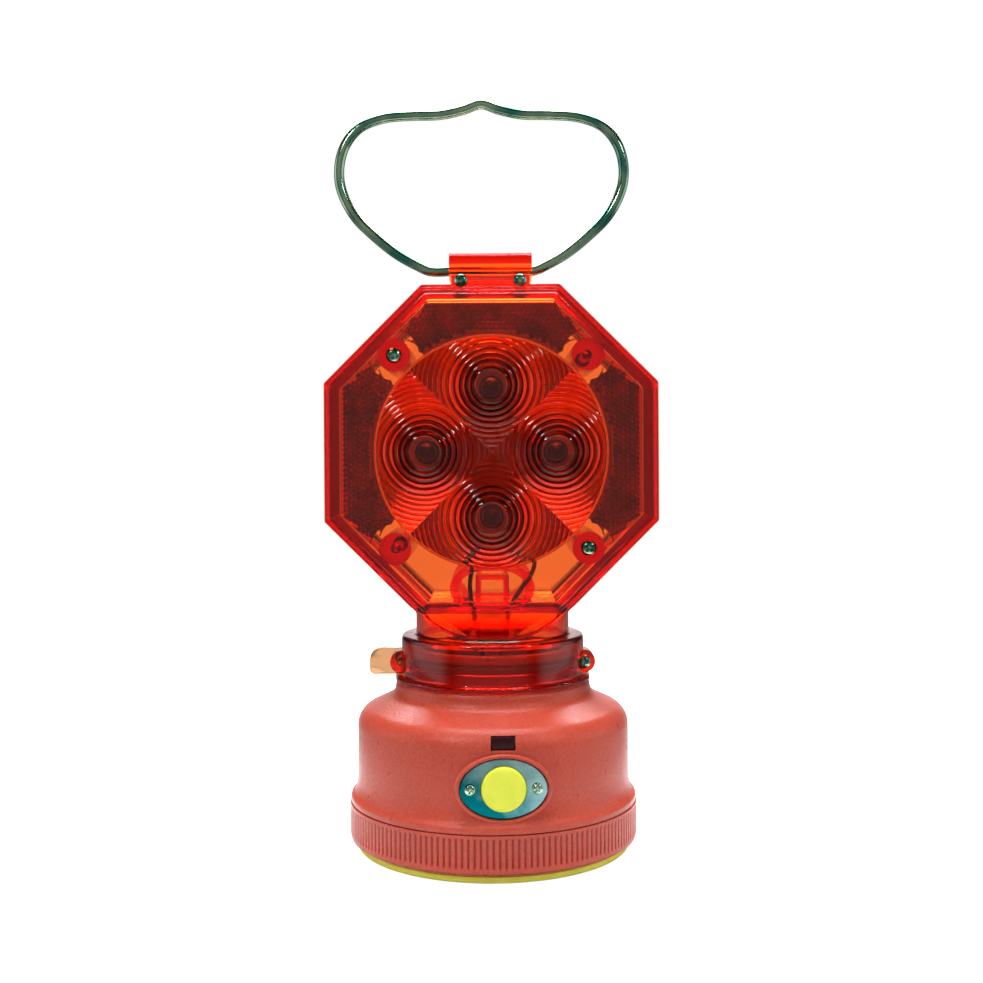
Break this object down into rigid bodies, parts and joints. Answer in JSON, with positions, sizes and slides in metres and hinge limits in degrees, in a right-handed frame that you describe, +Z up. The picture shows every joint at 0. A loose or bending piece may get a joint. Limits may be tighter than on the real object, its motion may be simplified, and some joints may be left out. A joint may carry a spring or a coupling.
{
  "type": "barricade warning light",
  "caption": "Portable two-sided octagonal LED warning light on a round battery base with a push button, swivelling head and wire bail.",
  "frame": {"origin": "centre of the foot pad's underside", "axes": "+Z up through the base and head, front towards -Y, +X to the right seen from the front"},
  "size_m": [0.1186, 0.102, 0.2654],
  "materials": {
    "body_plastic": "satin, fine moulded texture",
    "pad_yellow": "matte",
    "button_yellow": "matte",
    "plate_steel": "polished",
    "screw_steel": "bright zinc",
    "bail_steel": "bright zinc wire",
    "dark_window": "smoked",
    "black_plastic": "matte",
    "circuit_board": "white solder mask",
    "cell_wrap": "printed-free wrap",
    "contact_steel": "nickel",
    "seal_rubber": "red silicone",
    "head_clear": "transparent red-orange plastic",
    "lens_clear": "transparent deep red plastic",
    "tab_clear": "transparent pale orange plastic",
    "reflector_red": "prismatic",
    "led_body": "dark dome",
    "wire_black": "matte",
    "wire_red": "matte"
  },
  "bodies": {
    "base": {"base_housing": "body_plastic", "switch_plate": "plate_steel", "plate_screw_left": "screw_steel", "plate_screw_right": "screw_steel", "photocell_window": "dark_window", "photocell_sensor": "black_plastic", "control_board": "circuit_board", "tact_switch": "black_plastic", "flasher_chip": "black_plastic", "battery_cradle": "black_plastic", "battery_cell_front": "cell_wrap", "battery_cell_rear": "cell_wrap", "battery_link": "contact_steel", "positive_tab": "contact_steel", "negative_tab": "contact_steel", "battery_spring_front": "contact_steel", "battery_spring_rear": "contact_steel", "neck_seal": "seal_rubber"},
    "head": {"clip_screw_left": "screw_steel", "clip_screw_right": "screw_steel", "front_shell": "head_clear", "front_lens": "lens_clear", "front_reflector_top": "reflector_red", "front_reflector_left": "reflector_red", "front_reflector_right": "reflector_red", "front_led_top": "led_body", "front_led_bottom": "led_body", "front_led_left": "led_body", "front_led_right": "led_body", "corner_screw_front_high": "screw_steel", "corner_screw_front_low": "screw_steel", "collar_screw_front": "screw_steel", "rear_shell": "head_clear", "rear_lens": "lens_clear", "rear_reflector_top": "reflector_red", "rear_reflector_left": "reflector_red", "rear_reflector_right": "reflector_red", "rear_led_top": "led_body", "rear_led_bottom": "led_body", "rear_led_left": "led_body", "rear_led_right": "led_body", "corner_screw_rear_high": "screw_steel", "corner_screw_rear_low": "screw_steel", "collar_screw_rear": "screw_steel", "led_board": "circuit_board", "side_tab": "tab_clear", "lead_wire_black": "wire_black", "lead_wire_red": "wire_red", "bail_clip": "head_clear"},
    "bail": {"bail": "bail_steel"},
    "button": {"push_button": "button_yellow", "tact_plunger": "black_plastic"},
    "cap_seal": {"cap_seal": "seal_rubber"},
    "battery_cap": {"battery_cap": "body_plastic", "foot_pad": "pad_yellow"}
  },
  "joints": [
    {"name": "head_swivel", "type": "hinge", "parent": "base", "child": "head", "pos_m": [0, 0, 0.065], "axis": [0, 0, 1], "range_deg": [-90, 90]},
    {"name": "bail_swing", "type": "hinge", "parent": "head", "child": "bail", "pos_m": [-0.003, 0, 0.2039], "axis": [1, 0, 0], "range_deg": [-120, 120]},
    {"name": "button_press", "type": "slide", "parent": "base", "child": "button", "axis": [-0.068, 0.9977, 0], "range_m": [0, 0.0015], "stiffness_N_per_m": 600, "springref_m": -0.0005},
    {"name": "cap_drop", "type": "slide", "parent": "base", "child": "cap_seal", "axis": [0, 0, -1], "range_m": [0, 0.004]},
    {"name": "cap_turn", "type": "hinge", "parent": "cap_seal", "child": "battery_cap", "pos_m": [0, 0, 0.008], "axis": [0, 0, -1], "range_deg": [0, 360]}
  ],
  "couplings": [
    {"joint": "cap_drop", "follows": "cap_turn", "m_per_rad": 0.000636}
  ]
}
